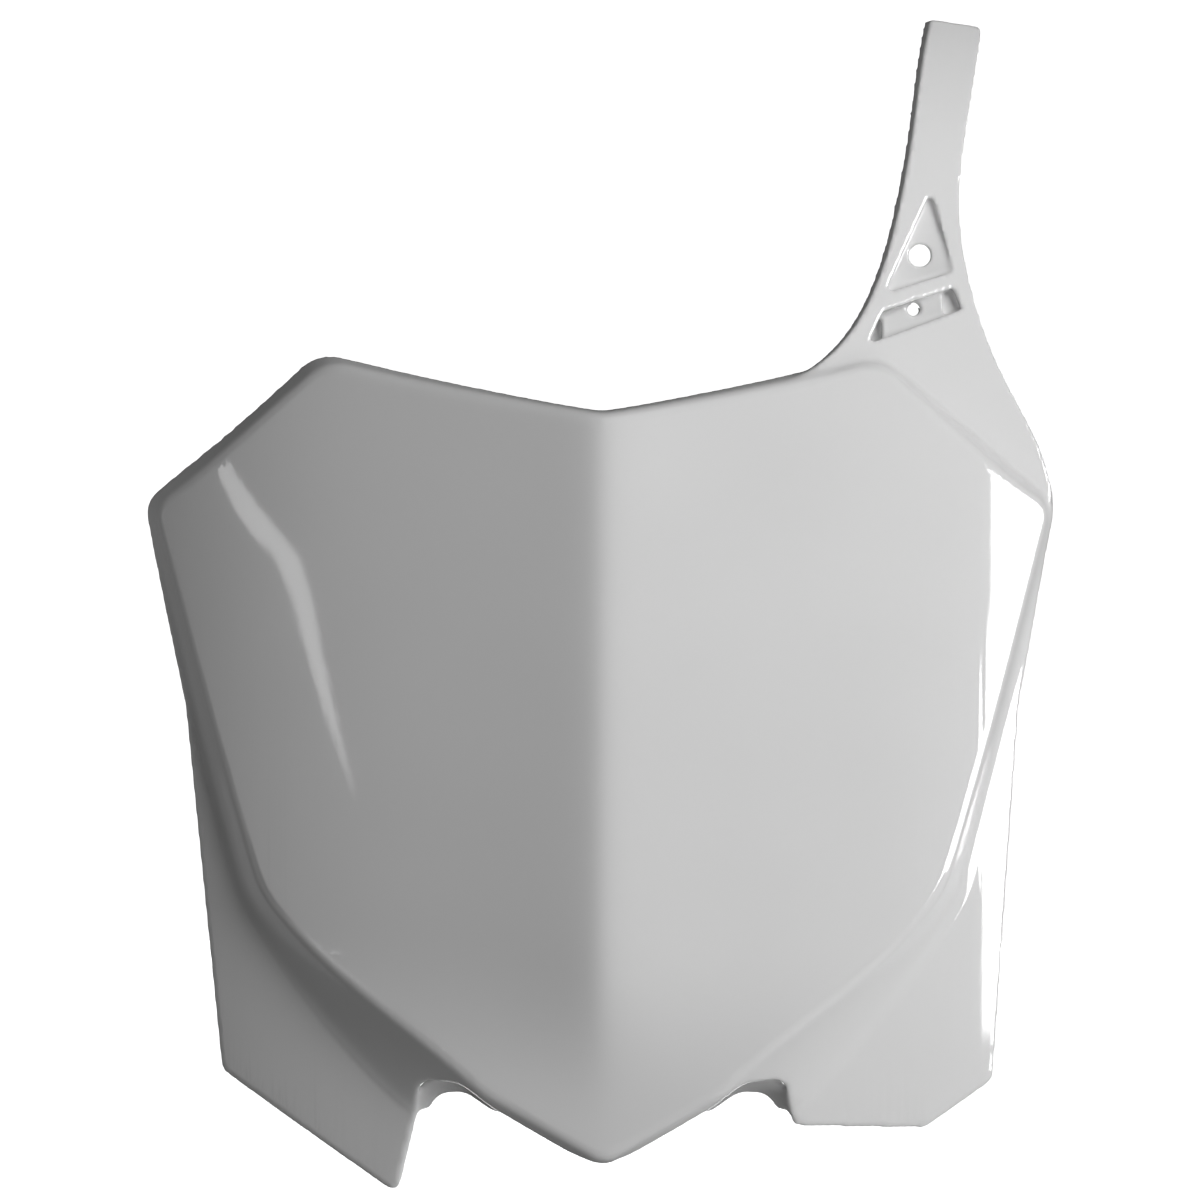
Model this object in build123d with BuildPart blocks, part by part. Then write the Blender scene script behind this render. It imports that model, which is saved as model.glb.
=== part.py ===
import os
from math import cos, hypot, radians, sin, tan

from build123d import *

os.makedirs("parts", exist_ok=True)

# The origin is the centre of the bolt seat. The shield is drawn from its ridge: across is the distance to
# the viewer's right of the ridge, depth is behind the ridge, height is above the middle of the shield.
bolt_across = 99.3
bolt_depth = 42.0
bolt_height = 107.6

# Moulding
wall = 2.5
crest_round = 3.2
front_margin = 2.0
rear_depth = 66.0
block_margin = 22.0
block_top = 100.0
level_step = 22.0
level_count = 14
wall_sections = 5

# Shield panel: a ridge with a rounded nose, hollow flanks, swept-back sides and a flattened chin
half_width = 143.0
ridge_angle = 22.0
ridge_round = 5.0
flank_hollow = 30.0
side_sweep = 25.0
top_lean = 4.0
top_height = 90.0
chin_start = -100.0
chin_end = -165.0
chin_setback = 11.0
chin_flatness = 0.92

# Shield outline, half of it. Each corner has its across and height on the crest, then how the side wall
# moves there per millimetre of depth (spread out, rise up) and per square millimetre (curl out, lift up)
# to run out into the wing, and last the corner's radius.
shield_corners = [
    (0.0, 56.0, 0.0, 0.2, 0.0, 0.0, 6.0),
    (84.9, 73.6, 0.33, 0.41, 0.0, 0.0, 13.0),
    (140.5, 29.5, 0.42, 0.35, 0.012, 0.0, 11.0),
    (105.5, -90.5, 0.42, 0.0, 0.0095, 0.0, 42.0),
    (36.0, -150.0, 0.58, -0.55, 0.0145, -0.014, 25.0),
    (0.0, -171.5, 0.0, -0.3, 0.0, -0.01, 8.0),
]

# Wings: a lower layer behind the shield that falls away towards the legs
wing_setback = 6.5
wing_fall = 0.047
wing_top = 20.0
wing_root = 100.0
wing_low = -112.0
leg_inside = 53.5
leg_round = 4.0
tip_round = 3.0
side_round = 9.0
waist_round = 40.0

# Outer edges of the part, from the side corner down: across and height
left_edge = [(-60.0, 101.2), (-145.3, 30.5), (-131.4, -33.0), (-119.8, -148.0), (-50.0, -193.4)]
right_edge = [(142.7, 60.0), (142.7, 26.0), (131.5, -33.0), (123.4, -151.5), (101.0, -165.5), (50.0, -162.4)]

# Arches under the chin, with flanges that go back from their edges
arch_foot = -196.0
left_foot = 70.7
right_foot = 77.0
arch_outer = (55.5, -147.4, 6.5)
arch_inner = (43.0, -147.8, 8.0)
arch_step = (33.5, -155.2, 6.0)
chin_tip = (0.0, -175.0, 6.0)
arch_depth = 27.0
arch_reach = 18.0
arch_draft = 0.5
arch_narrowing = 0.45
flange_depth = 12.0
flange_bottom = -159.0

# Arm: a flat blade beside the shield, turned back, that ends in a bent strap. Its outline is measured on
# its face from the bolt's axis: along the face, and up.
arm_yaw = 21.0
arm_thickness = 4.2
arm_left = [(10.0, 75.5), (-3.2, 34.3), (-10.3, 3.3), (-23.9, -24.9), (-37.8, -37.0)]
arm_right = [
    (46.0, -77.6),
    (42.5, -61.9),
    (29.8, -39.4),
    (16.8, -7.8),
    (13.3, 17.0),
    (16.3, 40.0),
    (27.5, 73.9),
]
arm_root = [(-46.0, -40.5), (-20.0, -67.6), (40.0, -88.0)]
strap_start = 27.0
strap_bend_radius = 95.0
strap_bend_angle = 36.0
strap_corner = 1.5

# Bolt seat, window and pin hole in the arm: across and up from the bolt's axis
seat_drop = 5.0
seat_floor = 3.0
bolt_radius = 3.5
seat_outline = [(3.2, 20.0), (-11.8, -12.6), (10.2, -5.2)]
seat_corner = 1.2
window_outline = [(-12.3, -18.1), (-17.1, -28.5), (13.1, -16.8), (10.4, -10.1)]
window_corner = 0.6
block_left = -11.8
block_right = 7.1
block_height = 7.0
pocket_floor = 2.0
pin_across = -1.9
pin_up = -16.8
pin_radius = 2.0
pin_sink = 0.65
boss_wall = 2.2
through = 40.0


def level_plane(height):
    return Plane((-bolt_across, -bolt_depth, height - bolt_height))


def depth_plane(depth):
    return Plane((-bolt_across, depth - bolt_depth, -bolt_height), x_dir=(1, 0, 0), z_dir=(0, -1, 0))


def seat_plane(behind):
    return Plane((0, behind, 0), x_dir=(1, 0, 0), z_dir=(0, -1, 0))


mid_plane = Plane((-bolt_across, 0, 0), x_dir=(0, 1, 0), z_dir=(1, 0, 0))
along = (cos(radians(arm_yaw)), sin(radians(arm_yaw)), 0)
outward = (sin(radians(arm_yaw)), -cos(radians(arm_yaw)), 0)
inward = (-sin(radians(arm_yaw)), cos(radians(arm_yaw)), 0)
arm_plane = Plane((0, -seat_drop, 0), x_dir=along, z_dir=outward)
strap_plane = Plane((0, -seat_drop, 0), x_dir=inward, z_dir=along)


# Depth of the panel and of the wings behind the ridge
def ease(start, end, height):
    share = min(1.0, max(0.0, (height - start) / (end - start)))
    return share * share * (3 - 2 * share)


def vee(across):
    share = across / half_width
    nose = tan(radians(ridge_angle)) * (hypot(across, ridge_round) - ridge_round)
    return nose - flank_hollow * share**2 + side_sweep * share**4


def lean(height):
    return top_lean * (max(0.0, height) / top_height) ** 2


def panel_depth(across, height):
    chin = ease(chin_start, chin_end, height)
    return lean(height) + chin_setback * chin + (1 - chin_flatness * chin) * vee(across)


def wing_depth(across, height):
    return lean(height) + wing_setback + wing_fall * max(0.0, -height) + vee(across)


block_reach = half_width + block_margin
block_rear = 2 * rear_depth
half_stations = [6.0, 14.0, 40.0, 85.0, 125.0, block_reach]
stations = [-across for across in half_stations[::-1]] + [0.0] + half_stations
levels = [block_top - level_step * step for step in range(level_count)]


def block_behind(depth_at, shift):
    with BuildPart() as block:
        for height in levels:
            with BuildSketch(level_plane(height)):
                with BuildLine():
                    front = Spline(*[(across, shift + depth_at(across, height)) for across in stations])
                    Polyline(front @ 1, (block_reach, block_rear), (-block_reach, block_rear), front @ 0)
                make_face()
        loft()
    return block.part


# The shield's outline grows with depth along its flared and curled side walls
def shield_outline(depth):
    points = []
    for across, height, spread, rise, curl, lift, _ in shield_corners:
        run = depth - panel_depth(across, height)
        points.append((across + spread * run + curl * run**2, height + rise * run + lift * run**2))
    return points + [(-across, height) for across, height in points[-2:0:-1]]


def shield_prism(inset):
    radii = [corner[-1] for corner in shield_corners + shield_corners[-2:0:-1]]
    with BuildPart() as prism:
        for step in range(wall_sections):
            depth = -front_margin + (rear_depth + front_margin) * step / (wall_sections - 1)
            with BuildSketch(depth_plane(depth)):
                with BuildLine():
                    FilletPolyline(*shield_outline(depth), radius=radii, close=True)
                make_face()
                if inset:
                    offset(amount=-inset, mode=Mode.REPLACE)
        loft()
    return prism.part


# The space under the chin: two arches and the tip between them, drafted where the flanges go back
def arch_outline(shrink):
    points = []
    for side, foot in ((1, right_foot), (-1, left_foot)):
        half = [
            (side * (foot - shrink), arch_foot),
            (side * (arch_outer[0] - arch_narrowing * shrink), arch_outer[1] - shrink),
            (side * arch_inner[0], arch_inner[1] - shrink),
            (side * arch_step[0], arch_step[1] - shrink),
        ]
        points += half if side > 0 else [(chin_tip[0], chin_tip[1] - shrink)] + half[::-1]
    return points


def arch_space(rim):
    half_radii = [0, arch_outer[2], arch_inner[2], arch_step[2]]
    radii = half_radii + [chin_tip[2]] + half_radii[::-1]
    drafted = [(-front_margin, 0.0), (arch_depth, 0.0), (arch_depth + arch_reach, arch_draft * arch_reach)]
    with BuildPart() as space:
        for depth, shrink in drafted:
            with BuildSketch(depth_plane(depth)):
                with BuildLine():
                    FilletPolyline(*arch_outline(shrink - rim), radius=radii, close=True)
                make_face()
        loft(ruled=True)
    return space.part


panel_block = block_behind(panel_depth, 0)
inner_block = block_behind(panel_depth, wall)
wing_block = block_behind(wing_depth, 0)
rear_block = block_behind(wing_depth, wall)
flange_block = block_behind(wing_depth, flange_depth)
outer_prism = shield_prism(0)
inner_prism = shield_prism(wall)
arch_cut = arch_space(0)
arch_rim = arch_space(wall)

with BuildPart() as shield:
    add(outer_prism)
    add(panel_block, mode=Mode.INTERSECT)
    panel = shield.faces().filter_by(GeomType.BSPLINE).sort_by(SortBy.AREA)[-1]
    fillet(panel.outer_wire().edges(), radius=crest_round)

with BuildPart() as hollow:
    add(inner_prism)
    add(inner_block, mode=Mode.INTERSECT)

with BuildPart() as wings:
    with BuildSketch(depth_plane(rear_depth)):
        with BuildLine():
            Polyline(
                (-block_reach, wing_top),
                (-block_reach, arch_foot),
                (-leg_inside, arch_foot),
                (-leg_inside, wing_low),
                (-wing_root, wing_top),
                close=True,
            )
        make_face()
    extrude(amount=rear_depth)
    mirror(about=mid_plane)
    add(wing_block, mode=Mode.INTERSECT)

# What is trimmed away outside the outer edges
with BuildPart() as outside:
    for edge in (left_edge, right_edge):
        side = 1 if edge[0][0] > 0 else -1
        far = side * block_reach
        low = 2 * arch_foot
        ending = [(edge[-1][0], low), (far, low), (far, edge[0][1])]
        radii = [0, side_round, waist_round] + [leg_round] * (len(edge) - 4) + [0] * (1 + len(ending))
        with BuildSketch(depth_plane(block_rear)):
            with BuildLine():
                FilletPolyline(*edge, *ending, radius=radii, close=True)
            make_face()
        extrude(amount=block_rear + front_margin)

with BuildPart() as flanges:
    add(arch_rim)
    add(wing_block, mode=Mode.INTERSECT)
    add(flange_block, mode=Mode.SUBTRACT)
    split(bisect_by=level_plane(flange_bottom), keep=Keep.TOP)

with BuildPart() as arm:
    with BuildSketch(strap_plane):
        with BuildLine():
            blade = Line((0, arm_root[-1][1]), (0, strap_start))
            JernArc(blade @ 1, blade % 1, strap_bend_radius, -strap_bend_angle)
            offset(amount=arm_thickness, side=Side.RIGHT)
        make_face()
    extrude(amount=block_reach, both=True)
    with BuildSketch(arm_plane) as arm_face:
        with BuildLine():
            left = Spline(*arm_left)
            right = Spline(*arm_right)
            Polyline(left @ 1, *arm_root, right @ 0)
            Line(right @ 1, left @ 0)
        make_face()
        fillet(arm_face.vertices().sort_by(Axis.Y)[-2:], radius=strap_corner)
    extrude(amount=through, both=True, mode=Mode.INTERSECT)

# Boxes behind the arm round the bolt seat and the window
with BuildPart() as bosses:
    with BuildSketch(seat_plane(seat_floor)):
        with BuildLine():
            FilletPolyline(*seat_outline, radius=seat_corner, close=True)
        make_face()
        offset(amount=boss_wall, mode=Mode.REPLACE)
    extrude(amount=through)
    with BuildSketch(seat_plane(block_height)):
        with BuildLine():
            FilletPolyline(*window_outline, radius=window_corner, close=True)
        make_face()
        offset(amount=boss_wall, mode=Mode.REPLACE)
    extrude(amount=through)
    split(bisect_by=arm_plane, keep=Keep.BOTTOM)

with BuildPart() as pockets:
    with BuildSketch(seat_plane(0)):
        with BuildLine():
            FilletPolyline(*seat_outline, radius=seat_corner, close=True)
        make_face()
        with BuildLine():
            FilletPolyline(*window_outline, radius=window_corner, close=True)
        make_face()
    extrude(amount=through)
    with BuildSketch(seat_plane(block_height - pocket_floor)):
        with BuildLine():
            FilletPolyline(*window_outline, radius=window_corner, close=True)
        make_face()
        with Locations(((block_left + block_right) / 2, pin_up)):
            Rectangle(block_right - block_left, through, mode=Mode.SUBTRACT)
    extrude(amount=block_height)

with BuildPart() as number_board:
    add(shield.part)
    add(wings.part)
    add(rear_block, mode=Mode.SUBTRACT)
    add(arm.part)
    add(outside.part, mode=Mode.SUBTRACT)
    add(hollow.part, mode=Mode.SUBTRACT)
    add(flanges.part)
    add(arch_cut, mode=Mode.SUBTRACT)
    add(bosses.part)
    add(pockets.part, mode=Mode.SUBTRACT)
    with Locations(seat_plane(0).location):
        Hole(radius=bolt_radius, depth=2 * seat_floor)
    with Locations(seat_plane(0).location * Pos(pin_across, pin_up, 0)):
        CounterSinkHole(radius=pin_radius, counter_sink_radius=pin_radius + pin_sink, depth=2 * block_height)
    leg_tip = number_board.edges().sort_by(Axis.Z)[0]
    fillet(leg_tip, radius=tip_round)

number_board.part.label = "number_board"
export_step(number_board.part, "parts/number_board.step")
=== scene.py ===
from functools import partial
from math import hypot, radians, tan

import bmesh
import bpy
import numpy as np
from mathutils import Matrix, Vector


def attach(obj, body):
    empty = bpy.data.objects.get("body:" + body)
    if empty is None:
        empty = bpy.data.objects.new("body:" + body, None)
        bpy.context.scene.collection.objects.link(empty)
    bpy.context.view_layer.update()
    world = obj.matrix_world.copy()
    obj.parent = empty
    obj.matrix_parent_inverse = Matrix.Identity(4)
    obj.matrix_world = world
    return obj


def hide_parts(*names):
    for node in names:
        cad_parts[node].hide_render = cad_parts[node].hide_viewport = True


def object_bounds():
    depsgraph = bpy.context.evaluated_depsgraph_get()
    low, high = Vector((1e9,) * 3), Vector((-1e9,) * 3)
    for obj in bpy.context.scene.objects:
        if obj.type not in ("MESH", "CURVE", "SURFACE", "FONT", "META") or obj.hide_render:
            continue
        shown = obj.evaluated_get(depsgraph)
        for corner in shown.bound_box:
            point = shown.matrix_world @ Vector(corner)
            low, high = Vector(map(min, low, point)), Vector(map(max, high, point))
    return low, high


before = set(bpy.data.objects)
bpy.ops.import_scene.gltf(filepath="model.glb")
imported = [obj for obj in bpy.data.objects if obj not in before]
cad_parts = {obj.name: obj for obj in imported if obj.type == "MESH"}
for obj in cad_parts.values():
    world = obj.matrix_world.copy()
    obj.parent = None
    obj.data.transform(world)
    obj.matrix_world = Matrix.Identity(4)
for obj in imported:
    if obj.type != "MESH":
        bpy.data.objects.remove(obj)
cad_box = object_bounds()

# Where the shield is drawn from, in metres in the part's frame: its ridge line and the middle of its height
RIDGE_ACROSS = -0.0993
RIDGE_DEPTH = -0.042
SHIELD_MIDDLE = -0.1076
MM_PER_METRE = 1000

# Shape of the moulding, in millimetres from the ridge and in degrees: the solid's surfaces, with a chin that
# starts and ends more softly. Slopes are taken over a step to each side.
WALL = 2.5
HALF_WIDTH = 143.0
RIDGE_ANGLE = 22.0
RIDGE_ROUND = 5.0
FLANK_HOLLOW = 30.0
SIDE_SWEEP = 25.0
TOP_LEAN = 4.0
TOP_HEIGHT = 90.0
CHIN_START = -95.0
CHIN_END = -170.0
CHIN_SETBACK = 11.0
CHIN_FLATNESS = 0.92
WING_SETBACK = 6.5
WING_FALL = 0.047
WING_TOP = 20.0
SLOPE_STEP = 0.5

# Fine mesh: the gap that is welded and its cell in metres, how often and how far its points are drawn
# together, and its size. The edges beyond the arm's foot, a line given by two points across and up from the
# bolt, stay crisp.
WELD_GAP = 0.000001
CELL = 0.00075
SOFT_ROUNDS = 14
FILL_ROUNDS = 60
ARM_FOOT = ((-0.046, -0.0405), (0.04, -0.088))
ARM_FADE = 0.015
RELAX_ROUNDS = 12
RELAX_IN = 0.5
RELAX_OUT = 0.52
TRIANGLES = 180000

# Points are set on the true surfaces from none to fully as their facing comes closer, by its cosine, and as
# their gap gets smaller, in millimetres
SETTLE_FACING = (0.985, 0.998)
SETTLE_GAP = (1.2, 0.5)

# Finish: base colour and roughness, each with a small spread in clouds, and the height of the moulded
# texture. Cells are counted to the metre, and heights are in metres.
PLASTIC_IOR = 1.49
PLASTIC_COLOUR = 0.79
COLOUR_SPREAD = 0.012
GLOSS = 0.055
GLOSS_SPREAD = 0.015
CLOUD_CELLS = 30.0
PEEL_CELLS = 620.0
PEEL_HEIGHT = 0.000004
SWELL_CELLS = 16.0
SWELL_HEIGHT = 0.00012

# Camera: level, straight in front of the ridge
CAMERA_DISTANCE = 1.082
CAMERA_ASIDE = -0.0006
CAMERA_LENS = 108.0
CAMERA_SENSOR = 36.0
SHIELD_FRONT = Vector((RIDGE_ACROSS, RIDGE_DEPTH, SHIELD_MIDDLE))
CAMERA_PLACE = SHIELD_FRONT + Vector((CAMERA_ASIDE, -CAMERA_DISTANCE, 0))

# Stage: a pale floor in a white surround, both seen by the camera only
FLOOR_DROP = 0.06
FLOOR_REACH = 3.0
FLOOR_GLOW = 1.0
SURROUND_RADIUS = 6.0
SURROUND_GLOW = 1.1
WHITE = (1, 1, 1, 1)
STAGE_COLOUR = (0.9, 0.9, 0.9, 1)
STAGE_ROUGHNESS = 0.8

# Light: a key at the right of the camera with a lower one, a fill above, one light for each side wall, one
# behind the part, and a card at the far right that shows as a reflection only. Each has its bearing to the
# right of the camera and its rise in degrees, then its distance, width and height in metres, and its power.
WORLD_STRENGTH = 0.03
LIGHTS = {
    "key": (37.0, 15.0, 0.75, 0.4, 0.4, 3.7),
    "low_key": (60.0, -50.0, 0.8, 0.4, 0.4, 1.55),
    "fill": (22.0, 48.0, 0.76, 0.4, 0.4, 0.5),
    "left": (-108.0, -10.0, 0.8, 0.4, 0.4, 1.05),
    "right": (108.0, -10.0, 0.8, 0.4, 0.4, 1.3),
    "rear": (180.0, -15.0, 1.5, 0.9, 0.9, 9.0),
    "card": (80.0, -4.0, 1.18, 0.8, 0.55, 22.0),
}
UNREFLECTED = ("key", "low_key", "left", "right")
REFLECTED_ONLY = ("card",)

# Streak of light down the left flank, in rows of height, left side and right side on the shield in
# millimetres. It is a lit strip, placed where the camera sees it mirrored in the panel.
STREAK = (
    (46.0, -120.5, -117.0),
    (40.0, -120.0, -114.5),
    (28.0, -114.0, -105.0),
    (18.5, -107.0, -97.0),
    (13.5, -101.0, -93.0),
    (-3.0, -94.5, -88.5),
    (-28.0, -87.5, -83.5),
    (-49.0, -79.5, -78.0),
    (-58.0, -76.0, -75.5),
)
STRIP_REACH = 0.5
STRIP_GLOW = 4.0


def vee(across):
    share = across / HALF_WIDTH
    nose = tan(radians(RIDGE_ANGLE)) * (np.hypot(across, RIDGE_ROUND) - RIDGE_ROUND)
    return nose - FLANK_HOLLOW * share**2 + SIDE_SWEEP * share**4


def lean(height):
    return TOP_LEAN * (np.maximum(0.0, height) / TOP_HEIGHT) ** 2


def panel_depth(across, height):
    share = np.clip((height - CHIN_START) / (CHIN_END - CHIN_START), 0.0, 1.0)
    chin = share**3 * (10 - 15 * share + 6 * share**2)
    return lean(height) + CHIN_SETBACK * chin + (1 - CHIN_FLATNESS * chin) * vee(across)


def wing_depth(across, height):
    return lean(height) + WING_SETBACK + WING_FALL * np.maximum(0.0, -height) + vee(across)


def facing(surface, across, height):
    """The direction that a surface of the moulding faces, to the front."""
    change_across = surface(across + SLOPE_STEP, height) - surface(across - SLOPE_STEP, height)
    change_up = surface(across, height + SLOPE_STEP) - surface(across, height - SLOPE_STEP)
    run = np.full_like(change_across, 2 * SLOPE_STEP)
    outward = np.stack([change_across, -run, change_up], axis=-1)
    return outward / np.linalg.norm(outward, axis=-1, keepdims=True)


def smoothstep(start, end, value):
    share = np.clip((value - start) / (end - start), 0.0, 1.0)
    return share**2 * (3 - 2 * share)


def read_vectors(items, field):
    flat = np.empty(3 * len(items), np.float32)
    items.foreach_get(field, flat)
    return flat.reshape(-1, 3).astype(float)


def softness(points):
    """One on the shield and the wings, and none on the arm."""
    (left, high), (right, low) = ARM_FOOT
    beyond = (points[:, 0] - left) * (high - low) + (points[:, 2] - high) * (right - left)
    return 1 - smoothstep(0.0, ARM_FADE, beyond / hypot(right - left, high - low))


def relaxed(points, normals, edges):
    """Rounds off edges, fills inner corners and then evens the points out without shrinking the piece."""
    start, end = edges.T
    count = len(points)
    neighbours = np.bincount(edges.ravel(), minlength=count)
    soft_pull = RELAX_IN * softness(points)[:, None]
    rounds = [(soft_pull, False)] * SOFT_ROUNDS + [(soft_pull, True)] * FILL_ROUNDS
    rounds += [(RELAX_IN, False), (-RELAX_OUT, False)] * RELAX_ROUNDS
    for pull, only_outward in rounds:
        step = np.empty_like(points)
        for axis in range(3):
            place = points[:, axis]
            total = np.bincount(start, place[end], count) + np.bincount(end, place[start], count)
            step[:, axis] = total / neighbours - place
        if only_outward:
            step *= ((step * normals).sum(axis=1) > 0)[:, None]
        points = points + pull * step
    return points


def settled(points, normals):
    """Puts the points of the wide faces at the true depth of the panel and the wings."""
    across = MM_PER_METRE * (points[:, 0] - RIDGE_ACROSS)
    depth = MM_PER_METRE * (points[:, 1] - RIDGE_DEPTH)
    height = MM_PER_METRE * (points[:, 2] - SHIELD_MIDDLE)
    for surface, top in ((panel_depth, TOP_HEIGHT), (wing_depth, WING_TOP)):
        aligned = (facing(surface, across, height) * normals).sum(axis=1)
        for behind, sense in ((0.0, 1.0), (WALL, -1.0)):
            gap = surface(across, height) + behind - depth
            share = smoothstep(*SETTLE_FACING, sense * aligned) * smoothstep(*SETTLE_GAP, np.abs(gap))
            depth = depth + np.where(height < top, share * gap, 0.0)
    return np.stack([points[:, 0], depth / MM_PER_METRE + RIDGE_DEPTH, points[:, 2]], axis=1)


def rounded_copy(node):
    """A fine copy of a solid with the soft edges of a moulding."""
    mesh = node.data.copy()
    welded = bmesh.new()
    welded.from_mesh(mesh)
    bmesh.ops.remove_doubles(welded, verts=welded.verts, dist=WELD_GAP)
    welded.to_mesh(mesh)
    welded.free()
    piece = bpy.data.objects.new("moulding", mesh)
    bpy.context.scene.collection.objects.link(piece)

    remesh = piece.modifiers.new("fine", "REMESH")
    remesh.mode = "VOXEL"
    remesh.voxel_size = CELL
    bake(piece)
    edges = np.empty(2 * len(piece.data.edges), np.int32)
    piece.data.edges.foreach_get("vertices", edges)
    edges = edges.reshape(-1, 2)
    for change in (partial(relaxed, edges=edges), settled):
        points = read_vectors(piece.data.vertices, "co")
        normals = read_vectors(piece.data.vertex_normals, "vector")
        piece.data.vertices.foreach_set("co", change(points, normals).ravel())
        piece.data.update()

    lighter = piece.modifiers.new("lighter", "DECIMATE")
    lighter.ratio = TRIANGLES / (2 * len(piece.data.polygons))
    bake(piece)
    piece.data.shade_smooth()
    return piece


def bake(piece):
    """Takes what the modifiers make as the piece's own mesh."""
    shown = piece.evaluated_get(bpy.context.evaluated_depsgraph_get())
    mesh = bpy.data.meshes.new_from_object(shown)
    piece.modifiers.clear()
    piece.data = mesh


def noise(tree, coordinates, cells):
    node = tree.nodes.new("ShaderNodeTexNoise")
    node.inputs["Scale"].default_value = cells
    node.inputs["Detail"].default_value = 0
    tree.links.new(coordinates.outputs["Object"], node.inputs["Vector"])
    return node


def spread(tree, source, middle, half):
    node = tree.nodes.new("ShaderNodeMapRange")
    node.inputs["To Min"].default_value = middle - half
    node.inputs["To Max"].default_value = middle + half
    tree.links.new(source.outputs["Fac"], node.inputs["Value"])
    return node


def bump(tree, source, height, before=None):
    node = tree.nodes.new("ShaderNodeBump")
    node.inputs["Distance"].default_value = height
    tree.links.new(source.outputs["Fac"], node.inputs["Height"])
    if before:
        tree.links.new(before.outputs["Normal"], node.inputs["Normal"])
    return node


def white_plastic():
    material = bpy.data.materials.new("white_plastic")
    material.use_nodes = True
    tree = material.node_tree
    shader = tree.nodes["Principled BSDF"]
    shader.inputs["IOR"].default_value = PLASTIC_IOR
    coordinates = tree.nodes.new("ShaderNodeTexCoord")
    clouds = noise(tree, coordinates, CLOUD_CELLS)
    colour = spread(tree, clouds, PLASTIC_COLOUR, COLOUR_SPREAD)
    gloss = spread(tree, clouds, GLOSS, GLOSS_SPREAD)
    swell = bump(tree, noise(tree, coordinates, SWELL_CELLS), SWELL_HEIGHT)
    peel = bump(tree, noise(tree, coordinates, PEEL_CELLS), PEEL_HEIGHT, swell)
    tree.links.new(colour.outputs["Result"], shader.inputs["Base Color"])
    tree.links.new(gloss.outputs["Result"], shader.inputs["Roughness"])
    tree.links.new(peel.outputs["Normal"], shader.inputs["Normal"])
    return material


def add_light(name, bearing, rise, distance, width, height, power):
    """An area light aimed at the middle of the shield."""
    light = bpy.data.lights.new(name, "AREA")
    light.shape = "RECTANGLE"
    light.size = width
    light.size_y = height
    light.energy = power
    lamp = bpy.data.objects.new(name, light)
    lamp.rotation_euler = (radians(90 - rise), 0, radians(bearing))
    lamp.location = SHIELD_FRONT + lamp.rotation_euler.to_matrix() @ Vector((0, 0, distance))
    lamp.visible_camera = False
    lamp.visible_shadow = False
    lamp.visible_diffuse = name not in REFLECTED_ONLY
    lamp.visible_glossy = name not in UNREFLECTED
    bpy.context.scene.collection.objects.link(lamp)


def mirrored(across, height):
    """Where the camera's line of sight goes on to from a point of the panel."""
    point = SHIELD_FRONT + Vector((across, panel_depth(across, height), height)) / MM_PER_METRE
    sight = (point - CAMERA_PLACE).normalized()
    return point + STRIP_REACH * sight.reflect(Vector(facing(panel_depth, across, height)))


def add_strip(name, rows):
    """A lit strip that only shows as a reflection."""
    corners = [mirrored(across, height) for height, *sides in rows for across in sides]
    faces = [(first, first + 1, first + 3, first + 2) for first in range(0, len(corners) - 2, 2)]
    mesh = bpy.data.meshes.new(name)
    mesh.from_pydata(corners, [], faces)
    mesh.materials.append(glowing(name, STRIP_GLOW))
    strip = bpy.data.objects.new(name, mesh)
    strip.visible_camera = False
    strip.visible_diffuse = False
    strip.visible_shadow = False
    bpy.context.scene.collection.objects.link(strip)


def add_camera():
    data = bpy.data.cameras.new("camera")
    data.lens = CAMERA_LENS
    data.sensor_width = CAMERA_SENSOR
    camera = bpy.data.objects.new("camera", data)
    camera.location = CAMERA_PLACE
    camera.rotation_euler = (radians(90), 0, 0)
    bpy.context.scene.collection.objects.link(camera)
    bpy.context.scene.camera = camera


def add_world():
    world = bpy.data.worlds.new("studio")
    world.use_nodes = True
    sky = world.node_tree.nodes["Background"]
    sky.inputs["Color"].default_value = WHITE
    sky.inputs["Strength"].default_value = WORLD_STRENGTH
    bpy.context.scene.world = world


def glowing(name, glow):
    material = bpy.data.materials.new(name)
    material.use_nodes = True
    shader = material.node_tree.nodes["Principled BSDF"]
    shader.inputs["Base Color"].default_value = STAGE_COLOUR
    shader.inputs["Roughness"].default_value = STAGE_ROUGHNESS
    shader.inputs["Emission Color"].default_value = WHITE
    shader.inputs["Emission Strength"].default_value = glow
    return material


def stage_white(name, glow):
    """Makes the shape that was added last a white part of the stage, which doesn't light the board."""
    shape = bpy.context.object
    shape.name = name
    shape.visible_diffuse = False
    shape.visible_glossy = False
    shape.visible_shadow = False
    shape.data.materials.append(glowing(name, glow))


board = rounded_copy(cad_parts["number_board"])
board.data.materials.clear()
board.data.materials.append(white_plastic())
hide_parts("number_board")
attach(board, "root")

add_world()
floor_height = cad_box[0][2] - FLOOR_DROP
bpy.ops.mesh.primitive_plane_add(size=FLOOR_REACH, location=(RIDGE_ACROSS, 0, floor_height))
stage_white("floor", FLOOR_GLOW)
bpy.ops.mesh.primitive_uv_sphere_add(radius=SURROUND_RADIUS, location=SHIELD_FRONT)
stage_white("surround", SURROUND_GLOW)
for name, settings in LIGHTS.items():
    add_light(name, *settings)
add_strip("strip", STREAK)
add_camera()
bpy.context.scene.view_settings.view_transform = "Standard"
